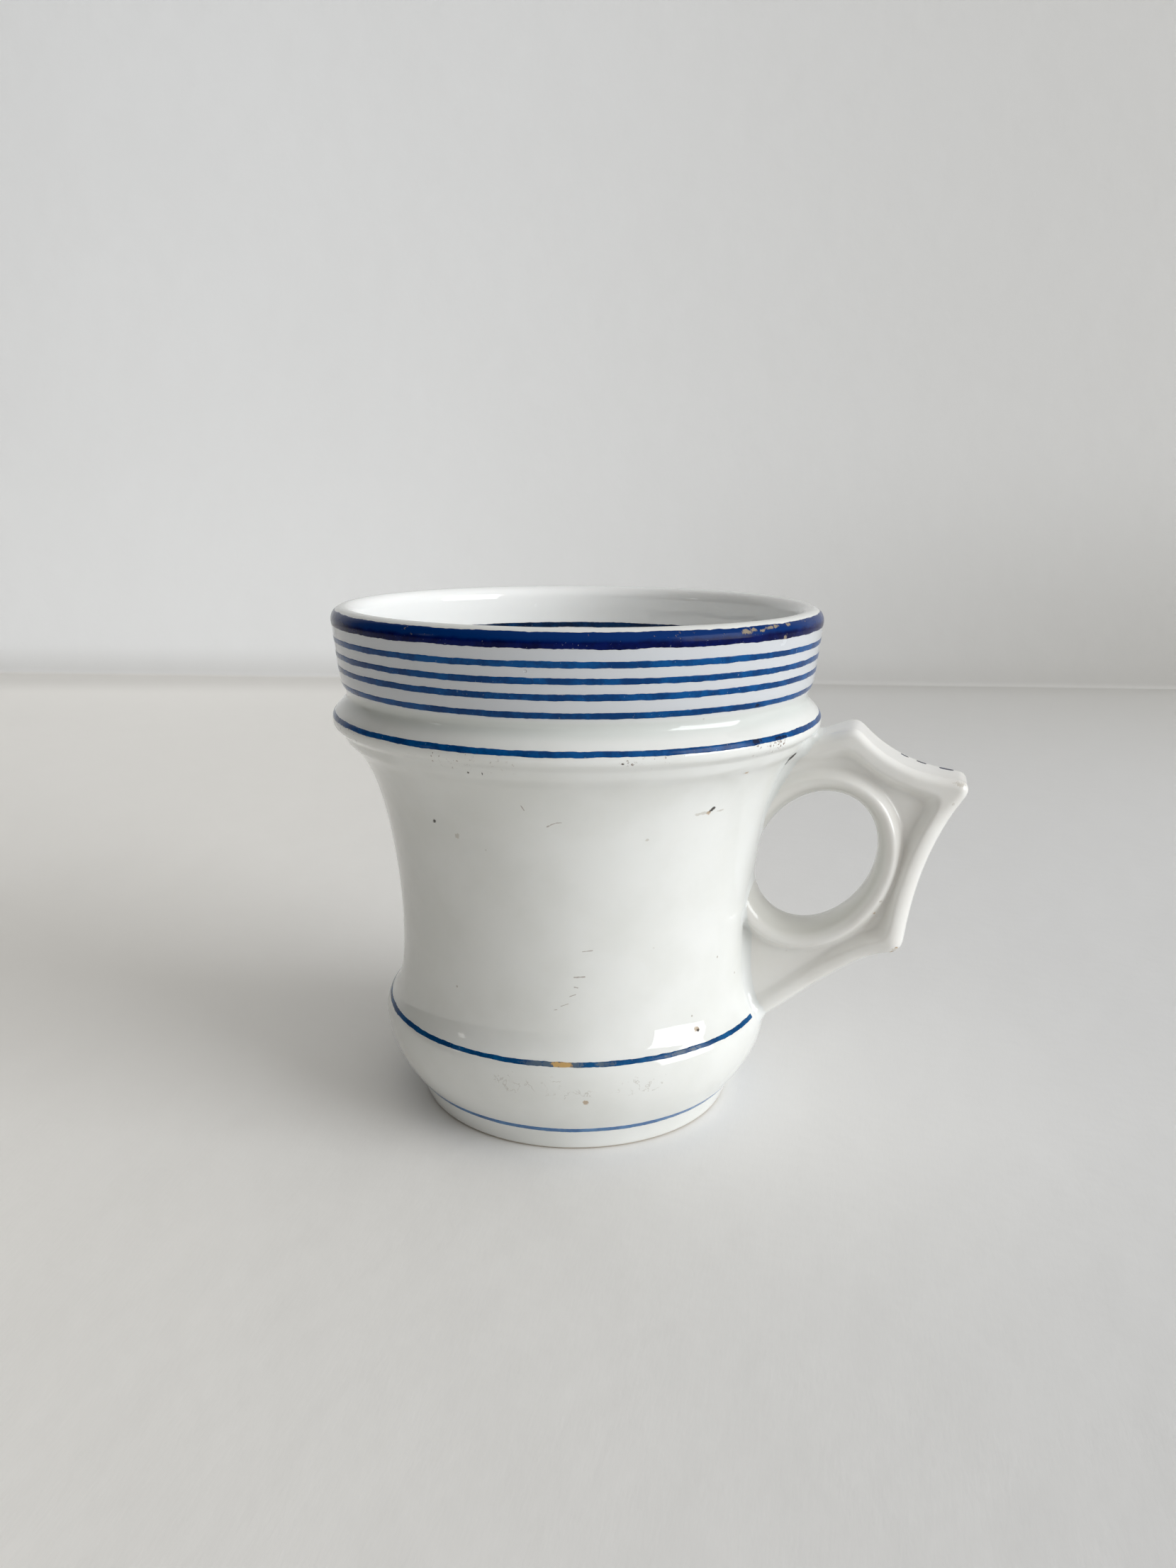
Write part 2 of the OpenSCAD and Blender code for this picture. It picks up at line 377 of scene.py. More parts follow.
class MugShape:
    """Distances from the handle and from the body, for points in millimetres."""

    def __init__(self, profile):
        outline = np.concatenate([
            [[30, 71.5]],
            bezier([44, 72.6], [47, 73.4], [49.5, 74.7], [51.2, 74.9]),
            bezier([51.2, 74.9], [52.2, 75], [52.9, 74.2], [53.8, 73.3]),
            bezier([53.8, 73.3], [58.3, 68.9], [64, 67.1], [69.6, 66.6]),
            bezier([69.6, 66.6], [71.4, 66.4], [72, 65.2], [71.1, 63.6]),
            bezier([71.1, 63.6], [66.4, 56], [63.6, 48.5], [62.3, 36.2]),
            bezier([62.3, 36.2], [62.1, 34.6], [61.2, 33.8], [59.6, 33.5]),
            bezier([59.6, 33.5], [55.2, 33.3], [49, 27.3], [37, 17.6]),
            [[37, 17.6], [28, 17.6]]])
        line = evenly(softened(outline, 0.5), 0.3)
        closed = np.concatenate([line, [[20, 17.6], [20, 71.5]]])
        low, high = (HANDLE_LO[0] - 4, HANDLE_LO[2] - 6), (HANDLE_HI[0] + 3, HANDLE_HI[2] + 3)
        self.depth = Map(low, high, MAP_STEP, lambda p: np.where(
            is_inside(p, closed), 1, -1) * distance_to(p, line))
        self.soft_depth = self.depth.blurred(WEB_SOFTNESS)
        wall = evenly(profile.line[profile.foot:profile.top], 0.3)
        self.wall = Map((HANDLE_LO[0] - 5, 10), (56, 84), MAP_STEP, lambda p: np.where(
            p[:, 0] > np.interp(p[:, 1], wall[:, 1], wall[:, 0]), 1, -1) * distance_to(p, wall))

    def body(self, p):
        """Distance outside the body's wall."""
        turn = np.arctan2(p[:, 1], p[:, 0])
        return self.wall(np.hypot(p[:, 0], p[:, 1]) - wobble(turn, p[:, 2]), p[:, 2])

    @staticmethod
    def from_hole(x, z):
        """Distance outside the finger hole's edge, and the direction from its centre in degrees."""
        dx, dz = x - FINGER_C[0], z - FINGER_C[1]
        u = dx * math.cos(FINGER_LEAN) + dz * math.sin(FINGER_LEAN)
        v = -dx * math.sin(FINGER_LEAN) + dz * math.cos(FINGER_LEAN)
        k = np.hypot(u / FINGER_A, v / FINGER_B) + 1e-9
        slope = np.hypot(u / FINGER_A ** 2, v / FINGER_B ** 2) + 1e-9
        return k * (k - 1) / slope, np.degrees(np.arctan2(dz, dx))

    def handle(self, p):
        """Below zero inside the handle; about the distance outside its faces."""
        x, y, z = p.T
        depth = self.depth(x, z)
        gap, way = self.from_hole(x, z)
        upper_left = smooth_step((way - 60) / 60) * (way > 0)
        ring = RING_RISE * (1 - 0.62 * upper_left) * smooth_step(1 - (gap - RING_CREST) / RING_FALL)
        lower = smooth_step((60 - x) / 16) * smooth_step((38 - z) / 4)
        upper = smooth_step((51 - x) / 8) * smooth_step((z - 62) / 6)
        rib = RIB_RISE * (1 - 0.72 * lower) * (1 - 0.45 * upper)
        rib = rib * smooth_step(1 - (self.soft_depth(x, z) - RIB_CREST) / RIB_FALL)
        half = WEB_HALF + (ring ** 4 + rib ** 4 + 1e-9) ** 0.25
        half = half * (1 - 0.12 * smooth_step((x - 58) / 14) * smooth_step((z - 52) / 12))
        u = np.clip((RING_CREST - gap) / RING_CREST, 0, 4)
        ring_side = u ** RING_ROUNDNESS + (np.abs(y) / half) ** RING_ROUNDNESS
        ring_side = (ring_side ** (1 / RING_ROUNDNESS) - 1) * half
        edge = EDGE_R - 1.2 * smooth_step((z - 58) / 8)
        v = np.maximum(edge - depth, 0)
        w = np.maximum(np.abs(y) - half + edge, 0)
        edge_side = np.hypot(v, w) - edge
        return np.maximum(ring_side, edge_side)

    def handle_stub(self, p):
        """The handle, cut off a little way under the body's surface."""
        return np.maximum(self.handle(p), -(self.body(p) + STUB_DEPTH))

    def slip(self, p):
        """The fillet in the corner between the handle and the body, with its hidden backing."""
        body = self.body(p)
        handle = self.handle(p) / (np.linalg.norm(gradient(self.handle, p), axis=1) + 1e-6)
        from_middle = np.abs(p[:, 2] - FINGER_C[1])
        radius = SLIP_R_LEAST + (SLIP_R - SLIP_R_LEAST) * smooth_step((from_middle - 7) / 9)
        fillet = radius - np.hypot(np.maximum(radius - body, 0), np.maximum(radius - handle, 0))
        joined = np.where((body < radius) & (handle < radius), fillet, np.minimum(body, handle))
        backing = np.maximum(-(body + BACKING_IN_BODY), -(handle + BACKING_IN_HANDLE))
        reach = SLIP_R + 0.3
        return np.maximum.reduce([joined + SLIP_DIVE, body - reach, handle - reach, backing])


def gradient(field, p, step=0.02):
    """Slope of a field at points, by differences."""
    shifts = np.eye(3) * step
    return np.stack([(field(p + d) - field(p - d)) / (2 * step) for d in shifts], axis=1)


def surface_of(field, low, high, step):
    """Vertices and quads of the surface where the field is zero, a vertex to a crossed cell."""
    low = np.array(low, float)
    size = np.ceil((np.array(high, float) - low) / step).astype(int) + 1
    axes = [low[k] + step * np.arange(size[k]) for k in range(3)]
    points = np.stack(np.meshgrid(*axes, indexing="ij"), axis=-1).reshape(-1, 3)
    value = np.concatenate([field(part) for part in np.array_split(points, 8)]).reshape(size)
    cells = size - 1
    total, hits = np.zeros((*cells, 3)), np.zeros(cells)
    crossings = []
    for axis in range(3):
        lo = [slice(None)] * 3
        hi = [slice(None)] * 3
        lo[axis], hi[axis] = slice(0, -1), slice(1, None)
        a, b = value[tuple(lo)], value[tuple(hi)]
        cross = (a < 0) != (b < 0)
        share = np.where(cross, a / np.where(cross, a - b, 1), 0)
        crossings.append((cross, a < 0))
        others = [k for k in range(3) if k != axis]
        for i in (0, 1):
            for j in (0, 1):
                pick = [slice(None)] * 3
                pick[others[0]] = slice(i, i + cells[others[0]])
                pick[others[1]] = slice(j, j + cells[others[1]])
                hit = cross[tuple(pick)]
                offset = np.zeros((*cells, 3))
                offset[..., axis] = share[tuple(pick)]
                offset[..., others[0]], offset[..., others[1]] = i, j
                total += offset * hit[..., None]
                hits += hit
    used = hits > 0
    index = np.full(cells, -1)
    index[used] = np.arange(used.sum())
    cell = np.argwhere(used)
    vertices = low + step * (cell + total[used] / hits[used][:, None])
    quads = []
    for axis, (cross, inside) in enumerate(crossings):
        o1, o2 = (axis + 1) % 3, (axis + 2) % 3
        spots = np.argwhere(cross)
        keep = ((spots[:, o1] > 0) & (spots[:, o2] > 0)
                & (spots[:, o1] < cells[o1]) & (spots[:, o2] < cells[o2]))
        spots = spots[keep]
        corners = []
        for back1, back2 in ((1, 1), (0, 1), (0, 0), (1, 0)):
            at = spots.copy()
            at[:, o1] -= back1
            at[:, o2] -= back2
            corners.append(index[tuple(at.T)])
        quad = np.stack(corners, axis=1)
        flip = ~inside[tuple(spots.T)]
        quad[flip] = quad[flip][:, ::-1]
        quads.append(quad)
    return vertices, np.concatenate(quads)


def polished(field, vertices, quads, rounds=4):
    """Evens out the vertices and puts them exactly on the field's surface."""
    pairs = np.concatenate([quads[:, [k, (k + 1) % 4]] for k in range(4)])
    pairs = np.unique(np.sort(pairs, axis=1), axis=0)
    count = np.bincount(pairs.ravel(), minlength=len(vertices))[:, None]
    for turn in range(rounds + 2):
        if turn < rounds:
            total = np.zeros_like(vertices)
            np.add.at(total, pairs[:, 0], vertices[pairs[:, 1]])
            np.add.at(total, pairs[:, 1], vertices[pairs[:, 0]])
            vertices = vertices * 0.4 + 0.6 * total / count
        slope = gradient(field, vertices)
        steep = np.einsum("ij,ij->i", slope, slope)[:, None] + 1e-9
        move = -field(vertices)[:, None] * slope / steep
        length = np.linalg.norm(move, axis=1)[:, None] + 1e-12
        vertices = vertices + move * np.minimum(1, 0.5 * VOXEL / length)
    return vertices


def make_field_piece(name, field, low, high, material, slot, node):
    """A piece whose surface is where the field is zero, between two corners of a box."""
    vertices, quads = surface_of(field, low, high, VOXEL)
    vertices = polished(field, vertices, quads)
    return add_piece(name, vertices, quads, material, slot, node)


def make_dashes(shape, material):
    """Three dabs of cobalt on the handle's top, each a lens of colour that follows the surface."""
    low, high = box_mm("handle_dashes")
    places = [(low[0] + 0.75, 1.5, 1.0), (low[0] + 3.75, 1.9, 1.1), (high[0] - 1.15, 2.7, 1.5)]
    vertices, faces = [], []
    rows, columns = 17, 9
    for k, (x0, long_, wide) in enumerate(places):
        y0 = (low[1] + high[1]) / 2 - 0.5
        u, v = np.meshgrid(np.linspace(-1, 1, rows), np.linspace(-1, 1, columns), indexing="ij")
        x = x0 + u * long_ / 2
        y = y0 + v * wide / 2 * np.sqrt(np.maximum(1 - u ** 4, 0.02))
        z = np.full_like(x, HANDLE_HI[2] + 2)
        for _ in range(60):
            p = np.stack([x, y, z], axis=-1).reshape(-1, 3)
            z = z - np.clip(shape.handle(p).reshape(z.shape) * 0.3, -0.5, 0.5)
        lift = 0.05 * (1 - np.maximum(np.abs(u), np.abs(v)) ** 4) - 0.01
        start = len(vertices)
        for height in (z + lift, z - 0.15):
            vertices += list(np.stack([x, y, height], axis=-1).reshape(-1, 3))
        size = rows * columns
        top = sheet_faces(rows, columns, False, False)
        faces += [tuple(start + f[::-1]) for f in top] + [tuple(start + size + f) for f in top]
        edge = ([i * columns for i in range(rows)]
                + [(rows - 1) * columns + j for j in range(1, columns)]
                + [i * columns + columns - 1 for i in range(rows - 2, -1, -1)]
                + list(range(columns - 2, 0, -1)))
        for a, b in zip(edge, edge[1:] + edge[:1]):
            faces.append((start + a, start + b, start + size + b, start + size + a))
    return add_piece("handle_dash_cobalt", vertices, faces, material, "cobalt_line",
                     "handle_dashes")


# ---------------------------------------------------------------- materials

class Paint:
    """A node material with a Principled shader, and short calls for the nodes that feed it."""

    def __init__(self, name, **fixed):
        self.material = bpy.data.materials.new(name)
        self.material.use_nodes = True
        self.tree = self.material.node_tree
        self.shader = self.tree.nodes["Principled BSDF"]
        for socket, value in fixed.items():
            self.shader.inputs[socket.replace("_", " ")].default_value = value
        self.place = self.node("ShaderNodeTexCoord").outputs["Object"]

    def node(self, kind, _settings=None, **inputs):
        """A new node. Inputs go by name, or by number as i0, i1 and so on."""
        made = self.tree.nodes.new(kind)
        for key, value in (_settings or {}).items():
            setattr(made, key, value)
        for key, value in inputs.items():
            socket = int(key[1:]) if key[1:].isdigit() else key.replace("_", " ")
            self.feed(made.inputs[socket], value)
        return made

    def vector(self, operation, a, b):
        """Vector result of a vector operation."""
        return self.node("ShaderNodeVectorMath", {"operation": operation}, i0=a, i1=b).outputs[0]

    def scalar(self, operation, a, b=(0, 0, 0)):
        """Scalar result of a vector operation, such as a length or a dot product."""
        made = self.node("ShaderNodeVectorMath", {"operation": operation}, i0=a, i1=b)
        return made.outputs["Value"]

    def feed(self, socket, value):
        """Links a socket to another node's output, or sets its value."""
        if isinstance(value, bpy.types.NodeSocket):
            self.tree.links.new(value, socket)
        else:
            socket.default_value = value

    def math(self, operation, a, b=0.0):
        """Result of an operation on numbers."""
        return self.node("ShaderNodeMath", {"operation": operation}, i0=a, i1=b).outputs[0]

    def times(self, a, b):
        return self.math("MULTIPLY", a, b)

    def noise(self, size, detail=3.0, roughness=0.55, place=None):
        """Noise whose features are about size metres across."""
        made = self.node("ShaderNodeTexNoise", Vector=place or self.place, Scale=1 / size,
                         Detail=detail, Roughness=roughness)
        return made.outputs["Fac"]

    def stretch(self, x, y, z):
        """The place, with each axis multiplied by its own factor."""
        return self.vector("MULTIPLY", self.place, (x, y, z))

    def ramp(self, value, low, high, start=0.0, end=1.0):
        """start below low, end above high, and a soft change between."""
        made = self.node("ShaderNodeMapRange", {"interpolation_type": "SMOOTHSTEP"}, Value=value,
                         i1=low, i2=high, i3=start, i4=end)
        return made.outputs[0]

    def mix(self, share, a, b):
        """Colour a where share is 0, b where it is 1."""
        made = self.node("ShaderNodeMix", {"data_type": "RGBA"}, Factor=share)
        self.feed(made.inputs[6], a)
        self.feed(made.inputs[7], b)
        return made.outputs[2]

    def height(self):
        """Height above the table."""
        return self.node("ShaderNodeSeparateXYZ", Vector=self.place).outputs["Z"]

    def girth(self):
        """Distance from the mug's axis."""
        return self.scalar("LENGTH", self.stretch(1, 1, 0))

    def facing_axis(self):
        """1 where the surface looks toward the mug's axis."""
        normal = self.node("ShaderNodeNewGeometry").outputs["Normal"]
        return self.ramp(self.scalar("DOT_PRODUCT", normal, self.stretch(1, 1, 0)), -0.002, -0.012)

    def spots(self, places, ragged):
        """1 inside small ragged patches, each (x, y, z, half sizes in x, y, z) in millimetres."""
        found = 0.0
        for x, y, z, a, b, c in places:
            away = self.vector("SUBTRACT", self.place, (x * MM, y * MM, z * MM))
            away = self.scalar("LENGTH", self.vector("DIVIDE", away, (a * MM, b * MM, c * MM)))
            away = self.ramp(self.math("ADD", away, ragged), 1.35, 0.75)
            found = self.math("MAXIMUM", found, away)
        return found

    def strokes(self, lines, ragged):
        """1 along thin lines, each (start, end, half width) in millimetres."""
        found = 0.0
        for start, end, width in lines:
            way = Vector(end) - Vector(start)
            away = self.vector("SUBTRACT", self.place, tuple(Vector(start) * MM))
            along = self.scalar("DOT_PRODUCT", away, tuple(way / way.length_squared / MM))
            along = self.math("MINIMUM", self.math("MAXIMUM", along, 0.0), 1.0)
            nearest = self.node("ShaderNodeVectorMath", {"operation": "SCALE"}, i0=tuple(way * MM),
                                Scale=along).outputs[0]
            away = self.scalar("DISTANCE", away, nearest)
            away = self.math("ADD", self.times(away, 1 / (width * MM)), ragged)
            found = self.math("MAXIMUM", found, self.ramp(away, 1.3, 0.8))
        return found

    def bump(self, *layers):
        """Raises the surface by layers of (height source, metres)."""
        normal = None
        for source, metres in layers:
            made = self.node("ShaderNodeBump", Height=source, Distance=metres, Strength=1.0)
            if normal is not None:
                self.feed(made.inputs["Normal"], normal)
            normal = made.outputs["Normal"]
        self.feed(self.shader.inputs["Normal"], normal)

    def finish(self, **inputs):
        """Feeds the shader and gives the finished material."""
        for socket, value in inputs.items():
            self.feed(self.shader.inputs[socket.replace("_", " ")], value)
        return self.material


def srgb(red, green, blue):
    """Linear colour of an 8-bit display colour."""
    shares = [c / 255 for c in (red, green, blue)]
    linear = [(c / 12.92 if c <= 0.04045 else ((c + 0.055) / 1.055) ** 2.4) for c in shares]
    return (*linear, 1.0)


def on_wall(profile, degrees, z, size, side="outside"):
    """A spot at a place on the wall, as (x, y, z, half sizes)."""
    radius = float(profile.at(getattr(profile, side)(z))[0])
    turn = math.radians(degrees)
    return (radius * math.cos(turn), radius * math.sin(turn), z, *size)


def glaze(name, colour, tint, dark_spots=(), tan_spots=(), specks=0.5, faint_spots=(), scratches=(),
          cracks=(), matt=0.0):
    """White porcelain glaze: faint clouds, fine orange peel, a few specks, and the marks of use."""
    paint = Paint(name, IOR=1.52, Subsurface_Weight=0.12, Subsurface_Scale=0.0012,
                  Subsurface_Radius=(1.0, 0.9, 0.8))
    clouds = paint.noise(0.016, 4.0)
    base = paint.mix(paint.ramp(clouds, 0.35, 0.7), colour, tint)
    grit = paint.node("ShaderNodeTexVoronoi", Vector=paint.place, Scale=260.0).outputs["Distance"]
    rare = paint.ramp(paint.noise(0.009, 2.0), 0.62, 0.7)
    rare = paint.times(rare, specks)
    speck = paint.times(paint.ramp(grit, 0.07, 0.04), rare)
    base = paint.mix(speck, base, srgb(132, 112, 90))
    ragged = paint.ramp(paint.noise(0.0006, 4.0, 0.7), 0.3, 0.7, -0.5, 0.5)
    faint = paint.spots(faint_spots, ragged)
    base = paint.mix(paint.times(faint, 0.35), base, srgb(150, 134, 108))
    scratch = paint.strokes(scratches, ragged)
    base = paint.mix(paint.times(scratch, 0.55), base, srgb(124, 100, 82))
    tan = paint.spots(tan_spots, ragged)
    base = paint.mix(paint.times(tan, 0.7), base, srgb(164, 132, 88))
    torn = paint.ramp(paint.noise(0.0009, 2.0), 0.3, 0.7, -0.5, 0.3)
    dark = paint.math("MAXIMUM", paint.spots(dark_spots, ragged), paint.strokes(cracks, torn))
    base = paint.mix(paint.times(dark, 0.94), base, srgb(46, 36, 28))
    smear = paint.noise(0.011, 5.0, 0.6, paint.stretch(1, 1, 0.45))
    smear = paint.ramp(smear, 0.35, 0.75, 0.02 + matt, 0.06 + matt)
    marks = paint.times(paint.math("MAXIMUM", tan, dark), 0.6)
    rough = paint.math("MAXIMUM", smear, marks)
    hurt = paint.times(dark, -1.0)
    paint.bump((paint.noise(0.011, 1.5), 0.00008), (paint.noise(0.0045, 2.5), 0.000022),
               (paint.noise(0.0016, 2.0), 0.0000035), (hurt, 0.0001))
    return paint, base, rough


def body_material(profile):
    """The body's glaze, with its marks, pooled glaze with painted shade in the notch, painted shade
    on the collar, painted light on the inside, and the bare ring that it stands on.
    """
    def at(degrees, z, *size):
        return on_wall(profile, degrees, z, size)

    dark = [at(-38.9, 63.5, 0.38, 0.4, 0.36), at(-38.2, 63.7, 0.3, 0.3, 0.26),
            at(-115.5, 60.7, 0.3, 0.4, 0.27), at(-37.0, 22.2, 0.24, 0.26, 0.24),
            at(-98.4, 71.8, 0.16, 0.3, 0.16), at(-95.1, 71.8, 0.1, 0.3, 0.4),
            at(-85.3, 88.5, 0.2, 0.3, 0.2), at(-66.1, 74.3, 0.16, 0.2, 0.12)]
    tan = [at(-39.6, 63.0, 0.5, 0.5, 0.3), at(-37.3, 22.4, 0.5, 0.5, 0.4),
           at(-72.4, 12.8, 0.38, 0.5, 0.5), at(-26.4, 91.5, 0.4, 0.5, 0.6),
           at(-33.0, 69.9, 0.45, 0.5, 0.2), at(-27.5, 91.0, 0.3, 0.3, 0.3),
           on_wall(profile, 118.0, 91.0, (0.3, 0.3, 0.3), "inside")]
    faint = [at(-41.5, 63.1, 1.6, 1.2, 0.25), at(-108.1, 58.8, 0.5, 0.7, 0.4),
             at(-56.7, 59.4, 0.25, 0.3, 0.2), at(-35.6, 63.0, 0.8, 0.8, 0.15)]
    # Each scratch: angle and height of its start and of its end, and its width
    scratches = [(at(a, z)[:3], at(b, w)[:3], width) for a, z, b, w, width in (
        (-73.4, 39.4, -70.4, 39.6, 0.07), (-75.7, 34.7, -72.6, 34.8, 0.1),
        (-75.6, 32.9, -74.6, 32.8, 0.09), (-77.0, 31.2, -75.2, 31.6, 0.06),
        (-79.5, 29.4, -77.4, 29.9, 0.06), (-82.0, 28.6, -80.6, 28.8, 0.05),
        (-82.4, 62.2, -81.9, 62.4, 0.13), (-81.9, 62.4, -81.2, 62.7, 0.08),
        (-81.2, 62.7, -80.0, 63.0, 0.08), (-80.0, 63.0, -78.8, 63.05, 0.07),
        (-88.3, 65.9, -87.7, 65.1, 0.08))]
    paint, base, rough = glaze("porcelain_glaze", srgb(234, 235, 232), srgb(228, 229, 225),
                               dark, tan, faint_spots=faint, scratches=scratches)
    z = paint.height()
    # Grime under the bead, pooled glaze with painted shade in the notch above it, and painted shade
    # on the greyer collar
    grime = paint.times(paint.ramp(z, 0.0716, 0.0735), paint.ramp(z, 0.0762, 0.0752))
    dots = paint.ramp(paint.noise(0.0008, 4.0, 0.7), 0.61, 0.66)
    patches = paint.ramp(paint.noise(0.012, 2.0), 0.48, 0.6)
    near = paint.spots([at(-28.4, 74.6, 2.6, 2.6, 1.4), at(-34.6, 75.4, 0.9, 0.9, 0.7),
                        at(-65.0, 74.4, 1.2, 1.2, 0.5)], 0.0)
    fine_dots = paint.ramp(paint.noise(0.0005, 4.0, 0.7), 0.55, 0.6)
    dots = paint.math("MAXIMUM", paint.times(dots, patches), paint.times(fine_dots, near))
    grime = paint.times(grime, dots)
    base = paint.mix(paint.times(grime, 0.85), base, srgb(100, 70, 46))
    # Pooled glaze in the notch, tinted and also darkened as painted shade in that recess
    pooled_glaze_and_notch_shade = paint.times(paint.ramp(z, 0.0770, 0.0787), paint.ramp(z, 0.0812, 0.0798))
    base = paint.mix(paint.times(pooled_glaze_and_notch_shade, 0.65), base, srgb(205, 210, 206))
    # Painted shade: the outside of the collar between the lines is coloured greyer and slightly
    # bluish
    collar = paint.times(paint.ramp(z, 0.0800, 0.0815), paint.ramp(z, 0.0931, 0.0926))
    collar = paint.times(collar, paint.ramp(paint.girth(), 0.0412, 0.0418))
    base = paint.mix(collar, base, srgb(206, 209, 213))
    # Painted light: the inner wall, where it faces the axis above the floor, is coloured lighter to
    # stand for more light inside the cup
    inside = paint.times(paint.facing_axis(), paint.ramp(z, 0.006, 0.008))
    base = paint.mix(inside, base, srgb(249, 250, 249))
    # Thin scribbled scuffs on the belly
    scribble = paint.math("ABSOLUTE", paint.math("SUBTRACT", paint.noise(0.003, 3.0, 0.6), 0.5))
    blurred = paint.ramp(paint.noise(0.002, 3.0), 0.3, 0.7, -0.6, 0.6)
    where = paint.spots([at(-88.0, 15.8, 5.0, 4.0, 1.5), at(-78.0, 14.5, 3.5, 3.0, 0.8),
                         at(-56.5, 15.4, 4.0, 4.0, 1.2)], blurred)
    scribble = paint.times(paint.ramp(scribble, 0.02, 0.004), where)
    base = paint.mix(paint.times(scribble, 0.3), base, srgb(150, 140, 124))
    bare = paint.ramp(z, 0.00045, 0.0002)
    bisque = paint.mix(paint.noise(0.0012, 5.0, 0.7), srgb(205, 194, 176), srgb(172, 158, 138))
    base = paint.mix(bare, base, bisque)
    rough = paint.math("MAXIMUM", rough, paint.times(bare, 0.85))
    return paint.finish(Base_Color=base, Roughness=rough)


def handle_material(cracks):
    """The handle's glaze, with its marks, and painted shade on the wall of the finger hole."""
    tan = [(68.2, -3.9, 66.0, 0.35, 0.8, 0.2), (69.9, -3.9, 65.6, 0.3, 0.8, 0.24),
           (70.6, -3.2, 65.2, 0.2, 0.8, 0.3), (61.2, -4.9, 35.2, 0.24, 0.8, 0.2),
           (60.4, -4.6, 34.2, 0.28, 0.8, 0.18), (56.9, -4.9, 41.3, 0.2, 0.8, 0.22)]
    faint = [(69.1, -4.1, 62.6, 0.3, 1.0, 0.5), (57.9, -5.4, 43.8, 0.2, 0.8, 0.2),
             (69.6, -3.9, 66.0, 1.2, 1.5, 0.4), (61.0, -4.9, 34.6, 0.8, 1.2, 0.6)]
    paint, base, rough = glaze("handle_glaze", srgb(238, 237, 233), srgb(232, 230, 225), [], tan,
                               0.4, faint, cracks=cracks, matt=0.1)
    # Painted shade: the wall inside the finger hole is coloured darker
    lean_x, lean_z = math.cos(FINGER_LEAN) / MM, math.sin(FINGER_LEAN) / MM
    away = paint.vector("SUBTRACT", paint.place, (FINGER_C[0] * MM, 0, FINGER_C[1] * MM))
    u = paint.scalar("DOT_PRODUCT", away, (lean_x / FINGER_A, 0, lean_z / FINGER_A))
    v = paint.scalar("DOT_PRODUCT", away, (-lean_z / FINGER_B, 0, lean_x / FINGER_B))
    share = paint.math("ADD", paint.times(u, u), paint.times(v, v))
    share = paint.math("SQRT", share)
    base = paint.mix(paint.ramp(share, 1.2, 1.06), base, srgb(212, 211, 205))
    return paint.finish(Base_Color=base, Roughness=rough)


def slip_material(name, cracks):
    """The glaze over a slip joint."""
    paint, base, rough = glaze(name, srgb(232, 234, 232), srgb(225, 227, 224), specks=0.2,
                               cracks=cracks, matt=0.06)
    return paint.finish(Base_Color=base, Roughness=rough)


def cobalt_material(name, colour, deep, worn, worn_colour, wear=0.0, burnt=(), faded=(),
                    shine=0.15):
    """Cobalt brushed on in a turn of the wheel: uneven strength, fine pinholes, a satin gloss."""
    paint = Paint(name, IOR=1.5, Specular_IOR_Level=shine)
    streaks = paint.noise(0.0042, 4.0, 0.6)
    fine = paint.noise(0.0007, 3.0, 0.7)
    strength = paint.math("ADD", paint.times(streaks, 0.75), paint.times(fine, 0.25))
    base = paint.mix(paint.ramp(strength, 0.38, 0.64), deep, colour)
    pinholes = paint.times(paint.ramp(paint.noise(0.0006, 3.0, 0.7), 0.665, 0.71), 0.5)
    base = paint.mix(pinholes, base, srgb(150, 158, 165))
    ragged = paint.ramp(paint.noise(0.0006, 4.0, 0.7), 0.3, 0.7, -0.5, 0.5)
    pale = paint.times(paint.spots(faded, ragged), paint.ramp(streaks, 0.3, 0.55))
    base = paint.mix(paint.times(pale, 0.6), base, srgb(112, 120, 120))
    scorched = paint.times(paint.spots(burnt, ragged), 0.8)
    base = paint.mix(scorched, base, srgb(14, 16, 34))
    gone = paint.spots(worn, ragged)
    if wear:
        z = paint.height()
        high = paint.times(paint.ramp(z, 0.0929, 0.0935), paint.ramp(z, 0.0947, 0.0941))
        chips = paint.ramp(paint.noise(0.0016, 5.0, 0.78), 0.63, 0.67)
        patches = paint.ramp(paint.noise(0.014, 2.0), 0.47, 0.6)
        chips = paint.times(chips, paint.times(patches, high))
        gone = paint.math("MAXIMUM", gone, paint.times(chips, wear))
        thin = paint.math("ADD", z, paint.times(paint.noise(0.003, 3.0), 0.0008))
        base = paint.mix(paint.ramp(thin, 0.0932, 0.0940), base, srgb(0, 44, 104))
    base = paint.mix(gone, base, worn_colour)
    rough = paint.ramp(fine, 0.3, 0.7, 0.1, 0.22)
    rough = paint.math("MAXIMUM", rough, paint.times(gone, 0.6))
    lost = paint.times(gone, -1.0)
    paint.bump((paint.noise(0.0022, 3.0), 0.000012), (fine, 0.000004), (lost, 0.00004))
    return paint.finish(Base_Color=base, Roughness=rough)


# ---------------------------------------------------------------- the mug

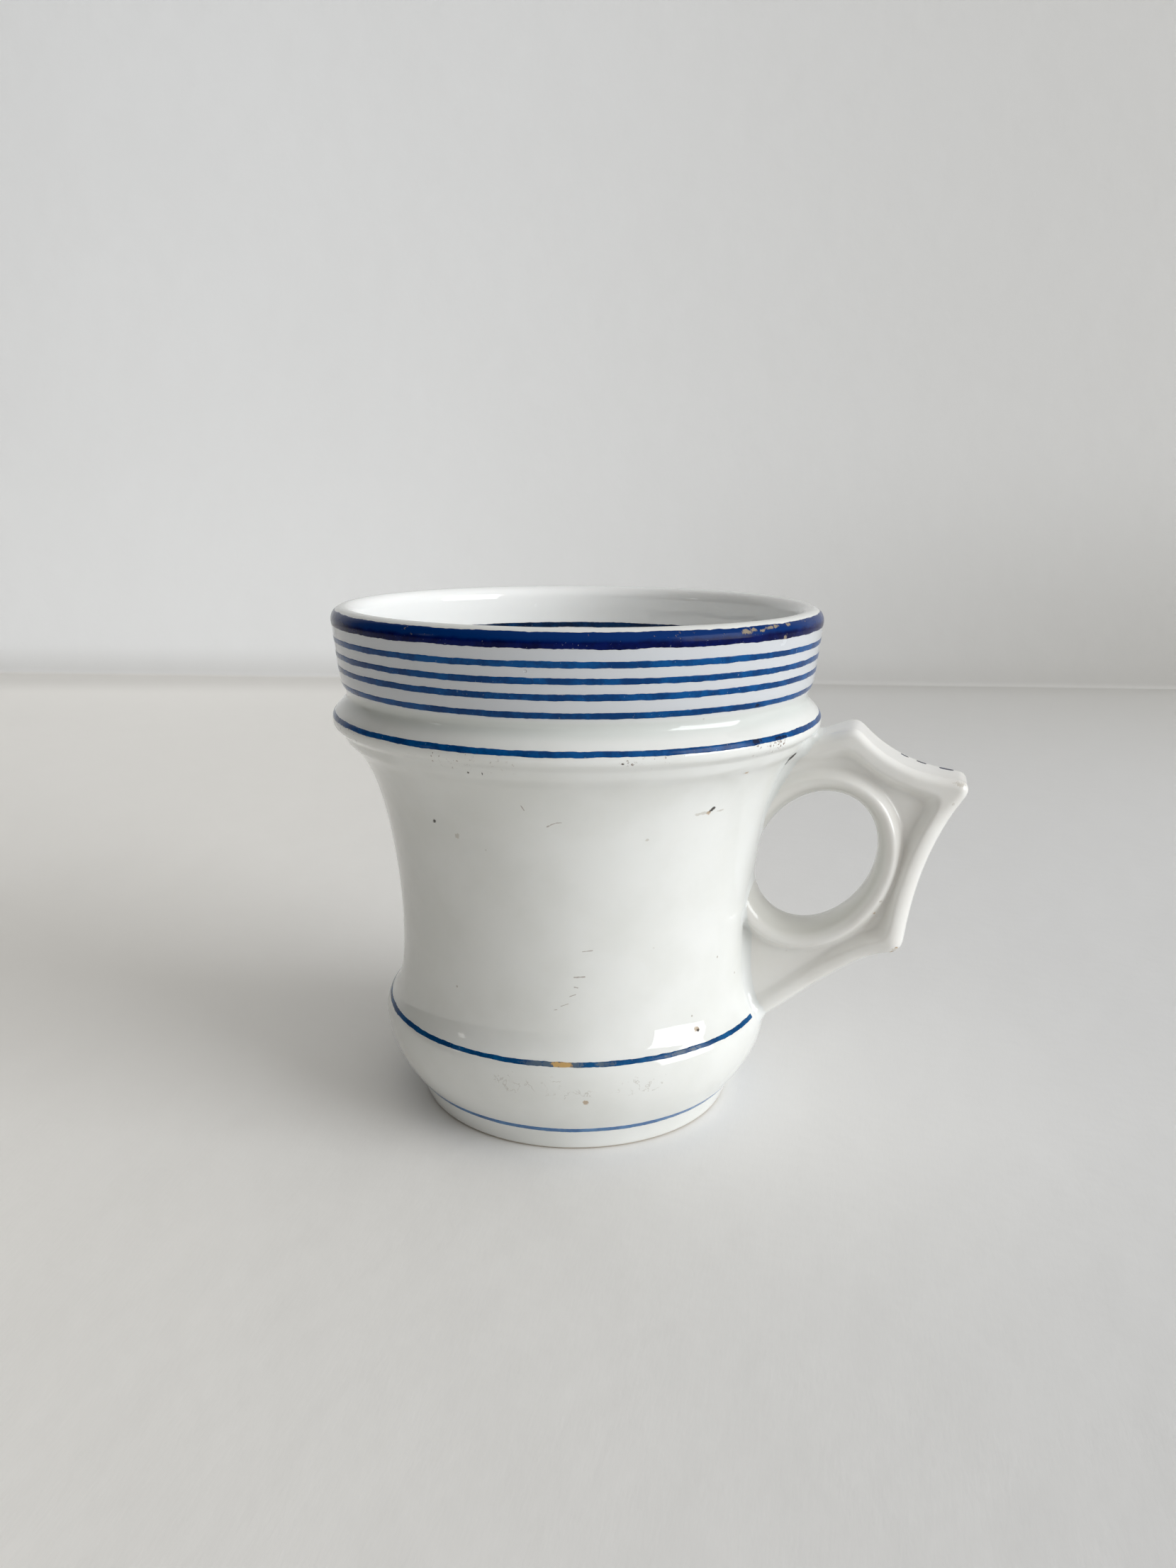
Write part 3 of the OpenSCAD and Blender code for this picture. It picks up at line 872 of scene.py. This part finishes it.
def make_mug():
    """All the visible pieces: the body, the lines, the handle, its two joints and the dashes."""
    profile = Profile()
    shape = MugShape(profile)
    make_body(profile, body_material(profile))

    def at(degrees, z, *size):
        return on_wall(profile, degrees, z, size)

    tan = srgb(144, 133, 117)
    line = cobalt_material(
        "cobalt_line", srgb(0, 78, 140), srgb(0, 54, 108), [], tan,
        burnt=[at(-35.1, 76.0, 0.9, 0.9, 0.5), at(-27.5, 75.75, 1.4, 1.2, 0.2),
               at(-25.6, 75.7, 0.8, 0.8, 0.2), at(-33.0, 81.4, 0.5, 0.5, 0.3),
               at(-60.0, 76.4, 0.8, 0.8, 0.15)])
    belly = cobalt_material(
        "cobalt_belly_line", srgb(8, 82, 134), srgb(4, 58, 106),
        [at(degrees, 19.85, 0.7, 0.9, 0.6) for degrees in (-80.3, -79.2, -78.2, -77.3)],
        srgb(196, 160, 104),
        faded=[at(-82.5, 19.9, 1.4, 1.4, 0.6), at(-86.0, 19.9, 2.2, 1.6, 0.5),
               at(-75.6, 19.9, 1.3, 1.4, 0.6), at(-67.0, 19.9, 1.6, 1.6, 0.3),
               at(-44.0, 19.9, 3.0, 3.0, 0.3)])
    band = cobalt_material(
        "cobalt_band", srgb(0, 18, 82), srgb(0, 6, 56),
        [at(-38.6, 93.75, 1.0, 0.9, 0.3), at(-36.6, 93.95, 0.9, 0.8, 0.22),
         at(-34.2, 93.7, 0.5, 0.6, 0.2), at(-31.6, 94.0, 1.2, 1.0, 0.22),
         at(-29.6, 94.1, 0.7, 0.7, 0.2), at(-24.7, 94.1, 0.6, 0.7, 0.2),
         at(-26.4, 92.1, 0.4, 0.5, 0.5)],
        tan, wear=0.9, shine=0.08,
        faded=[at(-63.2, 93.7, 0.7, 0.5, 0.14), at(-61.8, 93.6, 0.3, 0.4, 0.1),
               at(-92.2, 93.7, 0.5, 0.4, 0.16), at(-84.0, 93.8, 0.35, 0.4, 0.14),
               at(-97.0, 93.8, 0.6, 0.5, 0.12)])
    # Painted shade: the inner line's cobalt is coloured darker than the other lines, for the shade
    # inside the cup
    inner = cobalt_material("cobalt_inner_line_shaded", srgb(6, 50, 92), srgb(2, 26, 56), [], tan)
    washed = cobalt_material("cobalt_foot_line", srgb(80, 130, 180), srgb(54, 100, 154), [], tan)

    gap = math.degrees(math.asin(BELLY_GAP / box_mm("belly_line")[1][0]))
    outside = profile.outside
    # Each line: node, side of the wall, material, slot, raggedness and seed
    lines = [(f"collar_line_{k}", outside, line, "cobalt_line", 1.0, 10 * k) for k in range(1, 5)]
    lines += [("bead_line", outside, line, "cobalt_line", 1.0, 60),
              ("foot_line", outside, washed, "cobalt_line", 0.8, 70),
              ("rim_band", outside, band, "cobalt_band", 1.6, 80),
              ("belly_line", outside, belly, "cobalt_line", 1.0, 90),
              ("inner_line", profile.inside, inner, "cobalt_line", 1.0, 100)]
    for node, reach, material, slot, ragged, seed in lines:
        low, high = box_mm(node)
        share, lift = LINE_LOOK.get(node, (1.0, 0.0))
        ends = sorted([float(reach(low[2])), float(reach(high[2]))])
        middle, half = sum(ends) / 2 + lift, (ends[1] - ends[0]) / 2 * share
        make_film(node + "_cobalt", profile, middle - half, middle + half, material, slot, node,
                  arc=(gap, 360 - gap) if node == "belly_line" else None, ragged=ragged,
                  seed=seed, across=16 if node == "rim_band" else 8)

    crack = [((39.9, -5.4, 67.8), (40.6, -5.9, 68.7), 0.22),
             ((40.6, -5.9, 68.7), (41.5, -6.3, 69.9), 0.36)]
    make_field_piece("handle_porcelain", shape.handle_stub, HANDLE_LO - MARGIN, HANDLE_HI + MARGIN,
                     handle_material(crack), "handle_glaze", "handle")
    middle = FINGER_C[1]
    side = HANDLE_HALF + SLIP_R + 1
    make_field_piece("upper_slip_glaze", shape.slip, (SLIP_LO[0], -side, middle + SLIP_APART),
                     (SLIP_HI[0], side, SLIP_HI[1]), slip_material("upper_slip_glaze", crack),
                     "slip_glaze", "upper_slip_joint")
    make_field_piece("lower_slip_glaze", shape.slip, (SLIP_LO[0], -side, SLIP_LO[1]),
                     (SLIP_HI[0], side, middle - SLIP_APART), slip_material("lower_slip_glaze", []),
                     "slip_glaze", "lower_slip_joint")
    make_dashes(shape, cobalt_material("cobalt_dash", srgb(34, 44, 84), srgb(14, 18, 44), [], tan))


# ---------------------------------------------------------------- floor, light and camera

# The camera stands 15 degrees round the mug from its -Y side; its place is in metres
CAMERA_TURN = math.radians(15)
CAMERA_BACK = 0.2251
CAMERA_UP = 0.11452
CAMERA_PITCH, CAMERA_ROLL, CAMERA_YAW = (math.radians(a) for a in (13.509, 0.307, 0.535))
FOCAL_SHARE = 1700 / 2212    # Focal length as a share of the image's height
SENSOR = 36.0
RIGHT = Vector((math.cos(CAMERA_TURN), math.sin(CAMERA_TURN), 0))
AWAY = Vector((-math.sin(CAMERA_TURN), math.cos(CAMERA_TURN), 0))
UP = Vector((0, 0, 1))


def place(right, away, up):
    """A point from distances to the viewer's right, away from the viewer and up, in metres."""
    return RIGHT * right + AWAY * away + UP * up


def make_backdrop():
    """A pale table top that turns up into a pale wall, in one sheet, with painted light and shade
    on both.
    """
    back, corner, half_width, top = 0.53, 0.003, 2.2, 2.4
    line = [(-1.6, 0.0), (-0.6, 0.0), (back - corner, 0.0)]
    line += [(back - corner + corner * math.sin(a), corner - corner * math.cos(a))
             for a in np.radians(np.linspace(10, 80, 8))]
    line += [(back, corner), (back, top)]
    skew = math.tan(math.radians(3.5))
    vertices, faces = [], []
    for side in (-half_width, half_width):
        vertices += [place(side, away - (side * skew if away > 0 else 0), up) / MM
                     for away, up in line]
    for k in range(len(line) - 1):
        faces.append((k, k + len(line), k + len(line) + 1, k + 1))
    paint = Paint("backdrop", Roughness=0.85, Specular_IOR_Level=0.2)
    across = paint.scalar("DOT_PRODUCT", paint.place, tuple(RIGHT))
    away = paint.scalar("DOT_PRODUCT", paint.place, tuple(AWAY))
    z = paint.height()
    # Painted light and shade: the wall is coloured lighter at the left and darker at the right, and
    # darker still low down at the right
    wall = paint.mix(paint.ramp(across, -0.3, 0.42), srgb(251, 252, 253), srgb(216, 215, 213))
    low = paint.times(paint.ramp(z, 0.16, 0.0), paint.ramp(across, -0.1, 0.5))
    wall = paint.mix(paint.times(low, 0.8), wall, srgb(184, 182, 178))
    # Painted light and shade: the table is coloured lighter at the left front and darker towards
    # the back at the right
    far = paint.times(paint.ramp(away, 0.1, 0.53), paint.ramp(across, -0.3, 0.4))
    near = paint.mix(paint.ramp(across, -0.13, 0.13), srgb(253, 251, 247), srgb(233, 233, 233))
    table = paint.mix(far, near, srgb(208, 207, 204))
    base = paint.mix(paint.ramp(z, 0.0, 0.002), table, wall)
    # Painted shade in the corner where the table turns up into the wall
    joint = paint.times(paint.ramp(z, 0.022, 0.0), paint.ramp(away, 0.47, 0.53))
    base = paint.mix(paint.times(joint, 0.35), base, srgb(186, 184, 180))
    base = paint.mix(paint.times(paint.noise(0.09, 3.0), 0.1), base, srgb(205, 203, 199))
    # Painted shade: the backdrop is coloured darker far from the mug
    base = paint.mix(paint.ramp(paint.girth(), 0.68, 1.3), base, srgb(120, 118, 114))
    weave = paint.noise(0.0007, 2.0, place=paint.stretch(1, 0.25, 1))
    paint.bump((paint.noise(0.02, 3.0), 0.0003), (weave, 0.00002))
    mesh_object("backdrop", vertices, faces, paint.finish(Base_Color=base))


def add_area(name, at, size, power, colour):
    """A soft rectangular light that faces the middle of the mug."""
    light = bpy.data.lights.new(name, "AREA")
    light.shape = "RECTANGLE"
    light.size, light.size_y = size
    light.energy = power
    light.color = colour
    lamp = bpy.data.objects.new(name, light)
    bpy.context.scene.collection.objects.link(lamp)
    lamp.location = at
    lamp.rotation_euler = (UP * 0.05 - at).to_track_quat("-Z", "Y").to_euler()


def around(side, height, distance):
    """A point at an angle in degrees to the right of the viewer, as the mug sees it."""
    side = math.radians(side)
    return place(distance * math.sin(side), -distance * math.cos(side), height)


def make_light():
    """A big window at the right, a small one at the left, and a room that is brighter one way."""
    add_area("key_window", around(64.5, 0.68, 2.4), (1.58, 1.6), 46.5, (0.97, 1.0, 1.03))
    add_area("far_window", around(-71, 0.5, 1.5), (0.14, 0.24), 0.22, (1.0, 0.98, 0.94))
    world = bpy.data.worlds.new("soft_room")
    bpy.context.scene.world = world
    world.use_nodes = True
    tree = world.node_tree
    rise = tree.nodes.new("ShaderNodeVectorMath")
    rise.operation = "DOT_PRODUCT"
    rise.inputs[1].default_value = (UP * 0.66 - AWAY * 0.3 + RIGHT * 0.7).normalized()
    tree.links.new(tree.nodes.new("ShaderNodeTexCoord").outputs["Generated"], rise.inputs[0])
    share = tree.nodes.new("ShaderNodeMapRange")
    share.inputs["From Min"].default_value = 0.05
    share.inputs["To Min"].default_value = 0.03
    share.inputs["To Max"].default_value = 0.9
    tree.links.new(rise.outputs["Value"], share.inputs["Value"])
    tree.links.new(share.outputs[0], tree.nodes["Background"].inputs["Strength"])
    tree.nodes["Background"].inputs["Color"].default_value = (1.0, 0.98, 0.945, 1)


def make_camera():
    """The photo's camera."""
    data = bpy.data.cameras.new("camera")
    data.sensor_width = SENSOR
    data.lens = SENSOR * FOCAL_SHARE
    data.clip_start = 0.01
    camera = bpy.data.objects.new("camera", data)
    bpy.context.scene.collection.objects.link(camera)
    flat = AWAY * math.cos(CAMERA_YAW) + RIGHT * math.sin(CAMERA_YAW)
    look = flat * math.cos(CAMERA_PITCH) - UP * math.sin(CAMERA_PITCH)
    right = look.cross(UP).normalized()
    up = right.cross(look)
    across = right * math.cos(CAMERA_ROLL) + up * math.sin(CAMERA_ROLL)
    upright = up * math.cos(CAMERA_ROLL) - right * math.sin(CAMERA_ROLL)
    turn = Matrix((across, upright, -look)).transposed()
    camera.matrix_world = Matrix.Translation(place(0, -CAMERA_BACK, CAMERA_UP)) @ turn.to_4x4()
    bpy.context.scene.camera = camera


make_camera()
make_mug()
make_backdrop()
make_light()
bpy.context.scene.view_settings.view_transform = "Standard"
